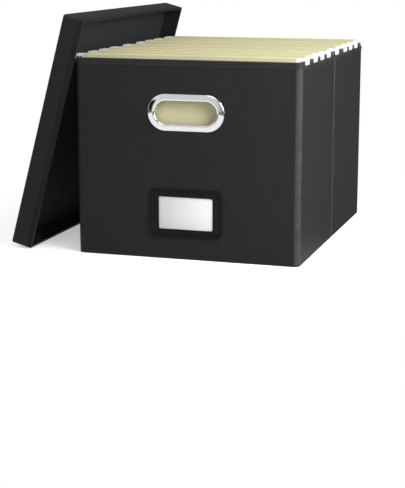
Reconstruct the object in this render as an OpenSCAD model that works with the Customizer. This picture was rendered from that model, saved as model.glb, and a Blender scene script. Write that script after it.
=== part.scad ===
// Portable file box for hanging folders, open, with its lid leaning at its left side.
// Millimetres. The origin is the centre of the box's base, on the floor.
// +X is to the right, +Y to the back and +Z up: the label and the front hand hole face -Y.

/* [Box] */
// Width of the box over its side walls
box_w = 310; // [300:1:330]
// Depth of the box, front to back
box_d = 402; // [370:1:430]
// Height of the box to the top of its hem
box_h = 266; // [262:1:285]
// Radius of the four upright corners
corner_r = 8; // [5:0.5:9]
// Thickness of the wall boards
board_t = 3; // [2:0.1:4]
// Thickness of the outer cover
cover_t = 0.8; // [0.5:0.1:1.2]
// Thickness of the lining
lining_t = 0.6; // [0.4:0.1:1]
// Thickness of the covered bottom
bottom_t = 2; // [1.5:0.1:3]

/* [Top hem] */
// Height of the turned band at the top edge
hem_h = 9; // [6:0.5:12]
// Thickness of the band
hem_t = 0.6; // [0.4:0.1:0.9]

/* [Fold grooves] */
// Width of the pressed groove at the middle of each side
groove_w = 5; // [3:0.5:8]
// Depth of the groove
groove_depth = 1.6; // [0.8:0.1:2.2]

/* [Base insert] */
// Thickness of the loose board on the bottom
insert_t = 2.6; // [2:0.1:4]
// Thickness of the cloth round the loose board
wrap_t = 0.5; // [0.3:0.1:0.8]
// Gap between the insert and the walls
insert_gap = 2; // [1:0.5:4]
// Gap under the insert
insert_rest = 0.2; // [0.1:0.1:0.4]

/* [Hand holes] */
// Width of the finger opening in the metal ring
hand_w = 87.5; // [76:0.5:92]
// Height of the finger opening
hand_h = 30.5; // [27:0.5:36]
// Width of the ring's flat-sided oval flange, measured across the rim
flange_w = 9.2; // [8:0.1:13]
// How far the flange stands out from the wall
flange_rise = 3; // [2:0.25:4]
// Metal thickness of the ring's throat
throat_t = 1; // [0.8:0.1:1.4]
// Centre of the hand hole below the top of the wall
hand_drop = 69; // [60:1:80]
// Play between the throat and the hole in the wall
hand_play = 0.2; // [0.1:0.05:0.4]
// Thickness of the plate inside the wall
plate_t = 1; // [0.8:0.1:1.2]
// Width of the plate's rim
plate_w = 7; // [5:0.5:8]

/* [Label holder] */
// Width of the holder
label_w = 100; // [90:1:110]
// Height of the holder
label_h = 64; // [58:1:70]
// Thickness of the holder
label_t = 2.4; // [2.2:0.1:3]
// Radius of the holder's corners
label_r = 7; // [3:0.5:9]
// Width of the holder's window
window_w = 75; // [68:1:79]
// Height of the holder's window
window_h = 43.5; // [40:0.5:49]
// Radius of the window's corners
window_r = 2; // [1:0.5:3]
// Centre of the holder above the floor
label_up = 63; // [55:1:75]
// Thickness of the card
card_t = 0.5; // [0.3:0.1:0.6]
// How far the card reaches past the window on each side
card_lap = 3; // [2:0.5:4]
// Play round the card in its slot
card_play = 0.2; // [0.1:0.05:0.3]
// Thickness of the clear window sheet
window_t = 0.5; // [0.3:0.1:0.6]
// How far the window sheet reaches past the window on each side
window_lap = 2; // [1:0.5:3]
// How far the raised lip stands in from the holder's edge
lip_w = 1.6; // [1.2:0.1:2.4]
// Height of the raised lip
lip_h = 0.6; // [0.4:0.1:1]

/* [Rails] */
// Wall thickness of the clear channels
rail_t = 1; // [0.8:0.1:1.4]
// Height of the channels' legs
rail_leg = 14; // [11:0.5:18]
// Play between a channel and the hem that it straddles
rail_play = 0.15; // [0.1:0.05:0.3]
// Setback of the channels' ends from the start of the corner rounding
rail_setback = 0.5; // [0:0.5:2]
// How far the channels reach past the end folders' rods
rail_over = 1.5; // [1:0.5:4]

/* [Lid] */
// Height of the lid's skirt over its top
lid_h = 29.5; // [26:0.5:36]
// Gap between the closed lid and the box all round
lid_gap = 3.8; // [3:0.1:5]
// Thickness of the lid's boards
lid_board_t = 3; // [2:0.1:4]
// Radius of the lid's upright corners
lid_corner_r = 3.5; // [2:0.5:6]
// Height of the band along the lid's free edge
lid_hem_h = 7; // [5:0.5:10]
// Angle of the leaning lid from upright
lid_lean = 15.2; // [13:0.1:18]
// How far the leaning lid stands behind its centred place
lid_back = 8; // [7:0.5:10]
// Gap between the lid's free edge and the wall edge that it leans on
lid_rest = 0.3; // [0.2:0.1:0.6]

/* [Hanging folders] */
// Height of the folded sheets
sheet_h = 236; // [210:1:242]
// Thickness of the sheets
paper_t = 0.5; // [0.4:0.05:0.7]
// Distance between the two rods of a folder
rod_gap = 12; // [10:0.5:14]
// Radius inside the fold at the foot of a sheet
fold_r = 2.6; // [2.4:0.1:4]
// Thickness of the flat rods
rod_t = 1.2; // [0.8:0.1:1.6]
// Height of the flat rods
rod_h = 5.5; // [4:0.25:7]
// Play between a rod and the sheet's turned edge, above it and beside it
rod_play = 0.1; // [0.05:0.05:0.2]
// Height of the sheet's turned edge
turn_h = 12; // [9:0.5:16]
// Height of the hooks' top bars
hook_h = 3; // [2:0.25:4]
// How far the hooks' tips hang below the rail's top
hook_drop = 5; // [3:0.5:8]
// Thickness of the hooks' tips
tip_t = 2.2; // [1.5:0.1:3]
// Corner cut at the top of the hooks
hook_cut = 1; // [0.5:0.1:1.5]
// Length of bare rod between a sheet's edge and the notch of a hook
bare_w = 3.3; // [2:0.1:6]
// Play between a hook and the rail, above it and beside it
hook_play = 0.3; // [0.2:0.05:0.6]

/* [Hidden] */
folder_count = 9;
// How far each folder stands from its evenly spaced place, front to back
folder_shift = [0, 1, -5, -10, -2, 9, 2, -4, 0];

body_nodes = [
    "outer_cover", "inner_lining", "rim_hem", "bottom_panel",
    "front_board", "rear_board",
    "left_front_board", "left_rear_board", "right_front_board", "right_rear_board",
    "front_handle_bezel", "front_handle_backplate",
    "rear_handle_bezel", "rear_handle_backplate",
    "label_frame", "label_window", "label_card",
    "left_rail", "right_rail", "insert_board", "insert_wrap"
];
lid_nodes = [
    "lid_top_board", "lid_front_board", "lid_rear_board", "lid_left_board", "lid_right_board",
    "lid_cover", "lid_lining", "lid_rim_hem"
];
function folder_name(i, piece) = str("folder_", i, "_", piece);
folder_nodes = [for (i = [1:folder_count]) each [
    folder_name(i, "sheet"), folder_name(i, "front_rod"), folder_name(i, "rear_rod")
]];

$fn = 64;
cut = 1;
least_r = 0.4;
corner_steps = 8;
fold_steps = 16;

black_cover = "#2b2b2d";
black_lining = "#1e1e20";
black_plastic = "#141415";
grey_board = "#8d8577";
bright_metal = "#d9dadd";
clear_plastic = [0.85, 0.9, 0.95, 0.4];
white_card = "#f2f2f0";
manila = "#d8d0a4";
white_metal = "#f4f4f2";

// Wall build-up, measured from the outside of the box
board_in = cover_t + board_t;
wall_t = board_in + lining_t;
wall_top = box_h - hem_t;
end_reach = max(corner_r, board_in);

// Rails: the channel straddles the hem on a side wall
rail_out = hem_t + rail_play;
rail_in = wall_t + hem_t + rail_play;
rail_len = box_d - 2 * corner_r - 2 * rail_setback;
rail_top = box_h + rail_t;

// Folders: rods and sheets hang from the rails' tops
hook_low = rail_top + hook_play;
hook_top = hook_low + hook_h;
hook_reach = box_w / 2 + rail_out + rail_t + hook_play + tip_t;
notch_in = box_w / 2 - rail_in - rail_t - hook_play;
sheet_w = 2 * (notch_in - bare_w);
rod_low = hook_top - rod_h;
turn_t = rod_t + 2 * rod_play + 2 * paper_t;
folder_t = rod_gap + turn_t;
first_y = -rail_len / 2 + rail_over + rod_t / 2 + rod_gap / 2;
pitch = -2 * first_y / (folder_count - 1);
sheet_top = hook_top + rod_play + paper_t;
sheet_low = sheet_top - sheet_h;

// Hand holes
hand_z = box_h - hand_drop;
throat_w = hand_w + 2 * throat_t;
throat_h = hand_h + 2 * throat_t;
hole_w = throat_w + 2 * hand_play;
hole_h = throat_h + 2 * hand_play;
throat_len = wall_t + plate_t;

// Label holder, measured outwards from the front of the box
card_w = window_w + 2 * card_lap;
card_low = label_up - window_h / 2 - card_lap;
card_top = label_up + window_h / 2 + card_lap;
slot_depth = card_t + 2 * card_play;

// Lid, in its own place: free edge at z = 0, top at z = lid_h
lid_wall = cover_t + lid_board_t + lining_t;
lid_w = box_w + 2 * (lid_gap + lid_wall);
lid_d = box_d + 2 * (lid_gap + lid_wall);
lid_board_top = lid_h - cover_t;
lid_board_low = lid_board_top - lid_board_t;
lid_lining_low = lid_board_low - lining_t;

// The lid's front skirt leans on the hem where the corner has begun to round off
hem_r = corner_r + hem_t;
lean_reach = max(0, corner_r + lid_gap - lid_back);
lean_x = -box_w / 2 + corner_r - sqrt(hem_r * hem_r - lean_reach * lean_reach);
lid_foot_x = lean_x - lid_rest - box_h * tan(lid_lean);

function corner_point(w, d, r, sx, sy, a) = [sx * (w / 2 - r) + r * cos(a), sy * (d / 2 - r) + r * sin(a)];

// Rounded rectangle with its corners as arcs
function round_points(w, d, r) = [
    for (q = [[1, 1, 0], [-1, 1, 90], [-1, -1, 180], [1, -1, 270]])
        for (k = [0:corner_steps])
            corner_point(w, d, r, q[0], q[1], q[2] + 90 * k / corner_steps)
];

module round_plan(w, d, r) {
    polygon(round_points(w, d, r));
}

// Plan of the box, drawn in from its outside by a distance
module box_plan(inset) {
    round_plan(box_w - 2 * inset, box_d - 2 * inset, max(corner_r - inset, least_r));
}

// The two fold grooves in plan, for a skin drawn in by a distance
module groove_plan(inset) {
    for (side = [-1, 1])
        translate([side * box_w / 2, 0])
            square([2 * (groove_depth + inset), groove_w + 2 * inset], center = true);
}

module grooved_plan(inset) {
    difference() {
        box_plan(inset);
        groove_plan(inset);
    }
}

// Flat-sided oval, standing upright and drilled along Y
module oval_bar(w, h, length) {
    rotate([90, 0, 0])
        linear_extrude(length, center = true) {
            square([w - h, h], center = true);
            for (side = [-1, 1])
                translate([side * (w - h) / 2, 0])
                    circle(d = h);
        }
}

module hand_hole(front, w = hole_w, h = hole_h) {
    translate([0, front * box_d / 2, hand_z])
        oval_bar(w, h, 4 * wall_t);
}

module both_hand_holes() {
    hand_hole(-1);
    hand_hole(1);
}

module outer_cover() {
    color(black_cover)
        difference() {
            translate([0, 0, bottom_t])
                linear_extrude(wall_top - bottom_t)
                    difference() {
                        grooved_plan(0);
                        grooved_plan(cover_t);
                    }
            both_hand_holes();
        }
}

module inner_lining() {
    color(black_lining)
        difference() {
            translate([0, 0, bottom_t])
                linear_extrude(wall_top - bottom_t)
                    difference() {
                        box_plan(board_in);
                        box_plan(wall_t);
                    }
            both_hand_holes();
        }
}

// The band over the top edge: outer leg, top and inner leg
module rim_hem() {
    color(black_cover)
        difference() {
            translate([0, 0, box_h - hem_h])
                linear_extrude(hem_h)
                    difference() {
                        box_plan(-hem_t);
                        box_plan(wall_t + hem_t);
                    }
            translate([0, 0, box_h - hem_h - cut])
                linear_extrude(hem_h - hem_t + cut)
                    difference() {
                        box_plan(0);
                        box_plan(wall_t);
                    }
        }
}

module bottom_panel() {
    color(black_cover)
        linear_extrude(bottom_t)
            box_plan(0);
}

// The ring of board in the walls, before it is divided
module board_ring() {
    translate([0, 0, bottom_t])
        linear_extrude(wall_top - bottom_t)
            difference() {
                grooved_plan(cover_t);
                box_plan(board_in);
            }
}

// An end board takes in the two rounded corners beside it
module end_board(front) {
    color(grey_board)
        difference() {
            intersection() {
                board_ring();
                translate([-box_w / 2, front > 0 ? box_d / 2 - end_reach : -box_d / 2, 0])
                    cube([box_w, end_reach, box_h]);
            }
            hand_hole(front);
        }
}

module front_board() {
    end_board(-1);
}

module rear_board() {
    end_board(1);
}

// A side board runs from a corner to the fold groove at the middle
module side_board(side, front) {
    length = box_d / 2 - end_reach - groove_w / 2 - cover_t;
    x = side > 0 ? box_w / 2 - board_in : -box_w / 2;
    y = front > 0 ? groove_w / 2 + cover_t : -box_d / 2 + end_reach;
    color(grey_board)
        intersection() {
            board_ring();
            translate([x, y, 0])
                cube([board_in, length, box_h]);
        }
}

module left_front_board() {
    side_board(-1, -1);
}

module left_rear_board() {
    side_board(-1, 1);
}

module right_front_board() {
    side_board(1, -1);
}

module right_rear_board() {
    side_board(1, 1);
}

// Cross section of the bright ring: x runs outwards from the throat's inside, y out of the wall
flange_section = [
    [0, -throat_len], [throat_t, -throat_len], [throat_t, 0], [flange_w, 0],
    [flange_w, 0.15 * flange_rise], [0.9 * flange_w, 0.45 * flange_rise],
    [0.72 * flange_w, 0.8 * flange_rise], [0.5 * flange_w, flange_rise],
    [0.3 * flange_w, 0.96 * flange_rise], [0.12 * flange_w, 0.7 * flange_rise],
    [0, 0.3 * flange_rise]
];

// A section carried round a flat-sided oval: straight runs, then half turns at the ends
module oval_sweep(w, h, section) {
    for (turn = [0, 180])
        rotate([0, 0, turn]) {
            translate([(w - h) / 2, 0, 0])
                rotate([0, 0, -90])
                    rotate_extrude(angle = 180)
                        translate([h / 2, 0])
                            polygon(section);
            translate([0, h / 2, 0])
                rotate([90, 0, 90])
                    linear_extrude(w - h, center = true)
                        polygon(section);
        }
}

module handle_bezel(front) {
    color(bright_metal)
        translate([0, front * box_d / 2, hand_z])
            rotate([front > 0 ? -90 : 90, 0, 0])
                oval_sweep(hand_w, hand_h, flange_section);
}

module front_handle_bezel() {
    handle_bezel(-1);
}

module rear_handle_bezel() {
    handle_bezel(1);
}

// The plate behind the wall, round the end of the throat
module handle_backplate(front) {
    color(bright_metal)
        translate([0, front * (box_d / 2 - wall_t - plate_t / 2), hand_z])
            difference() {
                oval_bar(hole_w + 2 * plate_w, hole_h + 2 * plate_w, plate_t);
                oval_bar(throat_w, throat_h, plate_t + 2 * cut);
            }
}

module front_handle_backplate() {
    handle_backplate(-1);
}

module rear_handle_backplate() {
    handle_backplate(1);
}

// Flat plate on the front wall: its back lies a distance out from the cover
module front_plate(w, h, r, off, thick, z = label_up) {
    translate([0, -box_d / 2 - off, z])
        rotate([90, 0, 0])
            linear_extrude(thick)
                round_plan(w, h, r);
}

module label_frame() {
    slot_w = card_w + 2 * card_play;
    slot_low = card_low - card_play;
    color(black_plastic)
        difference() {
            union() {
                front_plate(label_w, label_h, label_r, 0, label_t);
                front_plate(label_w, label_h, label_r, label_t, lip_h);
            }
            front_plate(label_w - 2 * lip_w, label_h - 2 * lip_w, label_r - lip_w, label_t, lip_h + cut);
            front_plate(window_w, window_h, window_r, -cut, label_t + 2 * cut);
            front_plate(
                window_w + 2 * window_lap, window_h + 2 * window_lap, window_r,
                slot_depth, window_t
            );
            translate([-slot_w / 2, -box_d / 2 - slot_depth, slot_low])
                cube([slot_w, slot_depth + cut, label_up + label_h / 2 + cut - slot_low]);
        }
}

module label_window() {
    color(clear_plastic)
        front_plate(
            window_w + 2 * window_lap, window_h + 2 * window_lap, window_r,
            slot_depth, window_t
        );
}

module label_card() {
    color(white_card)
        translate([-card_w / 2, -box_d / 2 - card_play - card_t, card_low])
            cube([card_w, card_t, card_top - card_low]);
}

// A channel, open downwards, over the hem of a side wall
module rail(side) {
    channel_w = rail_in + rail_out;
    channel_mid = box_w / 2 - (rail_in - rail_out) / 2;
    color(clear_plastic)
        translate([side * channel_mid, 0, rail_top])
            rotate([90, 0, 0])
                linear_extrude(rail_len, center = true)
                    difference() {
                        translate([-channel_w / 2 - rail_t, -rail_leg])
                            square([channel_w + 2 * rail_t, rail_leg]);
                        translate([-channel_w / 2, -rail_leg - cut])
                            square([channel_w, rail_leg - rail_t + cut]);
                    }
}

module left_rail() {
    rail(-1);
}

module right_rail() {
    rail(1);
}

// The loose insert lies on the bottom: a board wrapped all round in cloth
module insert_block(inset) {
    gap = wall_t + insert_gap + inset;
    translate([0, 0, bottom_t + insert_rest + inset])
        linear_extrude(insert_t + 2 * wrap_t - 2 * inset)
            square([box_w - 2 * gap, box_d - 2 * gap], center = true);
}

module insert_board() {
    color(grey_board)
        insert_block(wrap_t);
}

module insert_wrap() {
    color(black_lining)
        difference() {
            insert_block(0);
            insert_block(wrap_t);
        }
}

// Places the lid on the floor at the left, leaning on the box's left top edge
module leaning() {
    translate([lid_foot_x, lid_back, 0])
        rotate([0, lid_lean - 90, 0])
            translate([lid_w / 2, 0, 0])
                children();
}

// A block of the lid, drawn in from its outside by a distance, between two heights
module lid_block(inset, low, high) {
    translate([0, 0, low])
        linear_extrude(high - low)
            round_plan(lid_w - 2 * inset, lid_d - 2 * inset, max(lid_corner_r - inset, least_r));
}

module lid_top_board() {
    color(grey_board)
        leaning()
            lid_block(cover_t, lid_board_low, lid_board_top);
}

// The skirt's ring of board, under the top board
module lid_skirt_ring() {
    difference() {
        lid_block(cover_t, cover_t, lid_board_low);
        lid_block(cover_t + lid_board_t, 0, lid_h);
    }
}

module lid_end_board(front) {
    reach = cover_t + lid_board_t;
    color(grey_board)
        leaning()
            intersection() {
                lid_skirt_ring();
                translate([-lid_w / 2, front > 0 ? lid_d / 2 - reach : -lid_d / 2, 0])
                    cube([lid_w, reach, lid_h]);
            }
}

module lid_side_board(side) {
    reach = cover_t + lid_board_t;
    color(grey_board)
        leaning()
            intersection() {
                lid_skirt_ring();
                translate([side > 0 ? lid_w / 2 - reach : -lid_w / 2, -lid_d / 2 + reach, 0])
                    cube([reach, lid_d - 2 * reach, lid_h]);
            }
}

module lid_front_board() {
    lid_end_board(-1);
}

module lid_rear_board() {
    lid_end_board(1);
}

module lid_left_board() {
    lid_side_board(-1);
}

module lid_right_board() {
    lid_side_board(1);
}

module lid_cover() {
    color(black_cover)
        leaning()
            difference() {
                lid_block(0, lid_hem_h, lid_h);
                lid_block(cover_t, 0, lid_board_top);
            }
}

module lid_lining() {
    color(black_lining)
        leaning()
            difference() {
                lid_block(cover_t + lid_board_t, lid_hem_h, lid_board_low);
                lid_block(lid_wall, 0, lid_lining_low);
            }
}

// The band round the lid's free edge: outer leg, edge and inner leg
module lid_rim_hem() {
    color(black_cover)
        leaning()
            difference() {
                lid_block(0, 0, lid_hem_h);
                lid_block(lid_wall, -cut, lid_hem_h + cut);
                difference() {
                    lid_block(cover_t, cover_t, lid_hem_h + cut);
                    lid_block(cover_t + lid_board_t, 0, lid_h);
                }
            }
}

function folder_y(i) = first_y + (i - 1) * pitch + folder_shift[i - 1];

// One face of a folded sheet, from the end of one turned edge round to the other. The face lies
// a distance off from the face that holds the rods.
function sheet_face(off) =
    let (near = rod_gap / 2 - rod_t / 2 - rod_play - off)
    let (far = rod_gap / 2 + rod_t / 2 + rod_play + off)
    let (top = sheet_top - paper_t + off)
    let (turn_low = sheet_top - turn_h)
    let (fold_z = sheet_low + paper_t + fold_r)
    concat(
        [[near, turn_low], [near, top], [far, top], [far, turn_low]],
        [for (k = [0:fold_steps]) let (a = -180 * k / fold_steps)
            [(fold_r + off) * cos(a), fold_z + (fold_r + off) * sin(a)]],
        [[-far, turn_low], [-far, top], [-near, top], [-near, turn_low]]
    );

function reversed(list) = [for (k = [len(list) - 1:-1:0]) list[k]];

module folder_sheet(i) {
    color(manila)
        translate([0, folder_y(i), 0])
            rotate([90, 0, 90])
                linear_extrude(sheet_w, center = true)
                    polygon(concat(sheet_face(0), reversed(sheet_face(paper_t))));
}

// Right half of a rod's outline: its foot, the notch, the hook's tip and the corner cut off its top
rod_notch = [[notch_in, rod_low], [notch_in, hook_low], [hook_reach - tip_t, hook_low]];
rod_tip = [[hook_reach - tip_t, rail_top - hook_drop], [hook_reach, rail_top - hook_drop]];
rod_head = [[hook_reach, hook_top - hook_cut], [hook_reach - hook_cut, hook_top]];
rod_half = concat(rod_notch, rod_tip, rod_head);

module hanging_rod(i, front) {
    color(white_metal)
        translate([0, folder_y(i) + front * rod_gap / 2, 0])
            rotate([90, 0, 0])
                linear_extrude(rod_t, center = true)
                    polygon(concat(rod_half, reversed([for (p = rod_half) [-p[0], p[1]]])));
}

module folder_front_rod(i) {
    hanging_rod(i, -1);
}

module folder_rear_rod(i) {
    hanging_rod(i, 1);
}

outer_cover();
inner_lining();
rim_hem();
bottom_panel();
front_board();
rear_board();
left_front_board();
left_rear_board();
right_front_board();
right_rear_board();
front_handle_bezel();
front_handle_backplate();
rear_handle_bezel();
rear_handle_backplate();
label_frame();
label_window();
label_card();
left_rail();
right_rail();
insert_board();
insert_wrap();
lid_top_board();
lid_front_board();
lid_rear_board();
lid_left_board();
lid_right_board();
lid_cover();
lid_lining();
lid_rim_hem();
for (i = [1:folder_count]) {
    folder_sheet(i);
    folder_front_rod(i);
    folder_rear_rod(i);
}
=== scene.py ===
# Portable file box for hanging folders, open, with its loose lid leaning at its left side.
# Metres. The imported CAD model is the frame: the box stands on z = 0 and its front faces -Y.
import math

import bmesh
import bpy
from mathutils import Matrix, Vector, noise


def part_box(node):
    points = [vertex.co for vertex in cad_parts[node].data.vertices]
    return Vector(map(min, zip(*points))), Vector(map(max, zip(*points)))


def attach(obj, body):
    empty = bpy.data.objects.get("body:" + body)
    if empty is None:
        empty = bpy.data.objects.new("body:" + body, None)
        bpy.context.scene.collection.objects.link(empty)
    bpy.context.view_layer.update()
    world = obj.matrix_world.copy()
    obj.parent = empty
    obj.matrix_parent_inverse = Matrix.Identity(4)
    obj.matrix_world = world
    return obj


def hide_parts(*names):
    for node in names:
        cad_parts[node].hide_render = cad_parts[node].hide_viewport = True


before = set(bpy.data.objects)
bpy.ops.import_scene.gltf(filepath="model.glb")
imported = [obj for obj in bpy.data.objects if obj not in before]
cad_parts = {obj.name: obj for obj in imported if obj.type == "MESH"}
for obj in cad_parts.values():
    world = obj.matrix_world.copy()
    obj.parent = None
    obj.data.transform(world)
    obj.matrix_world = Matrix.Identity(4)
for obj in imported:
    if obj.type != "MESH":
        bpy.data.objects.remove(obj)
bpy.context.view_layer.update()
mm = 0.001
arcSteps = 8  # facets of a quarter round
upright = Matrix.Rotation(math.radians(90), 4, "X")  # stands a flat outline up, facing -Y


# Measuring the frame

def spanAlong(names, axis):
    reaches = [axis.dot(v.co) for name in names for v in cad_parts[name].data.vertices]
    return min(reaches), max(reaches)


def broadNormal(name):
    # Direction of the largest flat face that looks upwards
    areas = {}
    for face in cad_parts[name].data.polygons:
        if face.normal.z > 0.001:
            key = tuple(round(part, 4) for part in face.normal)
            areas[key] = areas.get(key, 0) + face.area
    return Vector(max(areas, key=areas.get)).normalized()


def middle(low, high):
    return (low + high) / 2


# Outlines

def spoke(degrees):
    turn = math.radians(degrees)
    return Vector((math.cos(turn), math.sin(turn)))


def roundedRect(width, height, radius, steps=arcSteps, cells=(1, 1)):
    # Counter-clockwise, with its straight runs divided into cells
    points = []
    centres = [Vector((sx * (width / 2 - radius), sy * (height / 2 - radius)))
               for sx, sy in ((1, 1), (-1, 1), (-1, -1), (1, -1))]
    for k, centre in enumerate(centres):
        points += [centre + radius * spoke(90 * (k + step / steps)) for step in range(steps + 1)]
        start = points[-1]
        end = centres[(k + 1) % 4] + radius * spoke(90 * (k + 1))
        cellCount = cells[k % 2]
        points += [start.lerp(end, c / cellCount) for c in range(1, cellCount)]
    return points


def grownRect(width, height, radius, out, cells=(1, 1), leastRadius=0.4 * mm):
    # A rounded rectangle, grown outwards by a distance
    radius = max(radius + out, leastRadius)
    return roundedRect(width + 2 * out, height + 2 * out, radius, cells=cells)


def roundCorners(points, radius, steps=arcSteps):
    # Rounds a closed outline's corners. Radius and steps are a number, or a list of them.
    straight = math.radians(89)  # half angles past this need no round
    sideShare = 0.49  # most of a side that one corner may take
    points = [Vector(p) for p in points]
    radii, counts = [value if isinstance(value, list) else [value] * len(points)
                     for value in (radius, steps)]
    rounded = []
    for k, corner in enumerate(points):
        toLast = points[k - 1] - corner
        toNext = points[(k + 1) % len(points)] - corner
        half = toLast.angle(toNext) / 2
        if radii[k] <= 0 or half > straight:
            rounded.append(corner)
            continue
        reach = min(radii[k] / math.tan(half), sideShare * toLast.length, sideShare * toNext.length)
        size = reach * math.tan(half)
        first = toLast.normalized()
        second = toNext.normalized()
        centre = corner + (first + second).normalized() * size / math.sin(half)
        start = corner + first * reach - centre
        sweep = math.pi - 2 * half
        side = 1 if first.cross(second) < 0 else -1
        rounded += [centre + Matrix.Rotation(side * sweep * step / counts[k], 2) @ start
                    for step in range(counts[k] + 1)]
    return rounded


def arc(centreOut, centreUp, radius, start, end, steps=arcSteps):
    turns = [math.radians(start + (end - start) * k / steps) for k in range(steps + 1)]
    return [(centreOut + radius * math.cos(t), centreUp + radius * math.sin(t)) for t in turns]


def atHeight(outline, up):
    return [(p.x, p.y, up) for p in outline]


def slabRims(thick, edge, inset=0):
    # Profile of a flat plate whose edges are cut back
    return [(-inset - edge, 0), (-inset, edge), (-inset, thick - edge), (-inset - edge, thick)]


def runLengths(points):
    # How far each point lies along a closed run, and the length of the whole run
    lengths = [0.0]
    for k, point in enumerate(points):
        ahead = points[(k + 1) % len(points)]
        lengths.append(lengths[-1] + (Vector(ahead) - Vector(point)).length)
    return lengths


def gridFaces(rows, columns):
    # Quads between rows + 1 lines, of columns + 1 points each
    line = columns + 1
    return [(k, k + 1, k + 1 + line, k + line)
            for row in range(rows) for k in range(row * line, row * line + columns)]


# Meshes

def addObject(name, data):
    made = bpy.data.objects.new(name, data)
    bpy.context.scene.collection.objects.link(made)
    return made


def newPiece(name, points, faces=(), edges=(), faceCoords=None, place=None):
    mesh = bpy.data.meshes.new(name)
    mesh.from_pydata([tuple(p) for p in points], edges, faces)
    if faceCoords:
        layer = mesh.uv_layers.new(name="clothRun")
        flat = [value for corners in faceCoords for pair in corners for value in pair]
        layer.data.foreach_set("uv", flat)
    if place is not None:
        mesh.transform(place)
    return addObject(name, mesh)


def loft(name, loops, capAt=None, place=None, capAxes=(0, 1)):
    # Skins a ring of equal loops, or leaves it open after one loop and caps both ends there.
    # Its map holds metres along the loops and metres across them.
    count = len(loops[0])
    points = [p for loop in loops for p in loop]
    along = runLengths(loops[0])
    across = runLengths([loop[0] for loop in loops])
    faces = []
    coords = []
    for j in range(len(loops)):
        low = j * count
        high = (j + 1) % len(loops) * count
        if capAt in (j, j - len(loops)):
            for face in (range(high + count - 1, high - 1, -1), range(low, low + count)):
                faces.append(tuple(face))
                coords.append([[points[i][axis] for axis in capAxes] for i in face])
            continue
        for i in range(count):
            n = (i + 1) % count
            faces.append((low + i, low + n, high + n, high + i))
            corners = ((i, j), (i + 1, j), (i + 1, j + 1), (i, j + 1))
            coords.append([(along[a], across[b]) for a, b in corners])
    return newPiece(name, points, faces, faceCoords=coords, place=place)


def carry(name, outline, profile, capAt=None, place=None):
    # Carries a profile (out, up) round an outline
    return loft(name, [atHeight(outline(out), up) for out, up in profile], capAt, place)


def applyModifiers(piece):
    graph = bpy.context.evaluated_depsgraph_get()
    graph.update()
    mesh = bpy.data.meshes.new_from_object(piece.evaluated_get(graph))
    mesh.name = piece.name
    piece.modifiers.clear()
    piece.data = mesh


def edgeRoundValues(work, facetAngle):
    # How strongly each point lies on an outward round, for the materials' rubbed edges and, on the
    # box cover and the manila card, their painted light.
    # Edges as sharp as a cut are hidden under other pieces and don't count.
    cutAngle = 1.0
    roundStart = 0.6  # share of a facet's bend at which the edge colour starts
    values = []
    for point in work.verts:
        bends = [edge.calc_face_angle_signed(0) for edge in point.link_edges
                 if len(edge.link_faces) == 2]
        sharpest = max([bend for bend in bends if bend < cutAngle] or [0])
        values.append(max(0, min(1, (sharpest / facetAngle - roundStart) / (1 - roundStart))))
    return values


def finishPiece(piece, body, material, nodes=(), sharpAngle=40,
                facetAngle=90 / arcSteps):
    data = piece.data
    work = bmesh.new()
    work.from_mesh(data)
    bmesh.ops.remove_doubles(work, verts=work.verts, dist=0.002 * mm)
    bmesh.ops.recalc_face_normals(work, faces=work.faces)
    work.normal_update()
    values = edgeRoundValues(work, math.radians(facetAngle))
    work.to_mesh(data)
    work.free()
    data.shade_smooth()
    data.set_sharp_from_angle(angle=math.radians(sharpAngle))
    data.attributes.new("edgeWearAndPaintedLight", "FLOAT", "POINT").data.foreach_set("value", values)
    data.materials.clear()
    data.materials.append(material)
    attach(piece, body)
    if nodes:
        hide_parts(*nodes)


# Node helpers

def feed(tree, sockets, values):
    for key, value in values.items():
        if isinstance(value, bpy.types.NodeSocket):
            tree.links.new(value, sockets[key])
        else:
            sockets[key].default_value = value


def addNode(tree, kind, inputs=None, **settings):
    # Hands back the new node's outputs. A kind without a family is a shader node.
    node = tree.nodes.new(kind if "Node" in kind else "ShaderNode" + kind)
    for key, value in settings.items():
        setattr(node, key, value)
    feed(tree, node.inputs, inputs or {})
    return node.outputs


def calc(tree, operation, *values, **settings):
    inputs = dict(enumerate(values))
    return addNode(tree, "Math", inputs, operation=operation, **settings)[0]


def vectorCalc(tree, operation, *values):
    return addNode(tree, "VectorMath", dict(enumerate(values)), operation=operation)


def combine(tree, **parts):
    return addNode(tree, "CombineXYZ", parts)[0]


def addNoise(tree, vector, scale, detail, roughness=0.5):
    return addNode(tree, "TexNoise", {
        "Vector": vector, "Scale": scale, "Detail": detail, "Roughness": roughness})[0]


def drawOut(tree, vector, share):
    # Draws a pattern out along X
    return vectorCalc(tree, "MULTIPLY", vector, (share, 1.0, 1.0))[0]


def blendNumber(tree, share, low, high):
    return addNode(tree, "MapRange", {
        "Value": share, "To Min": low, "To Max": high})["Result"]


def smoothStep(tree, value, start, end, low=0.0, high=1.0):
    return addNode(tree, "MapRange", {
        "Value": value, "From Min": start, "From Max": end, "To Min": low, "To Max": high},
        interpolation_type="SMOOTHSTEP")["Result"]


def blendColour(tree, share, first, second):
    return addNode(tree, "Mix", {"Factor": share, 6: first, 7: second}, data_type="RGBA")[2]


def blendShader(tree, share, first, second):
    return addNode(tree, "MixShader", {0: share, 1: first, 2: second})[0]


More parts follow.
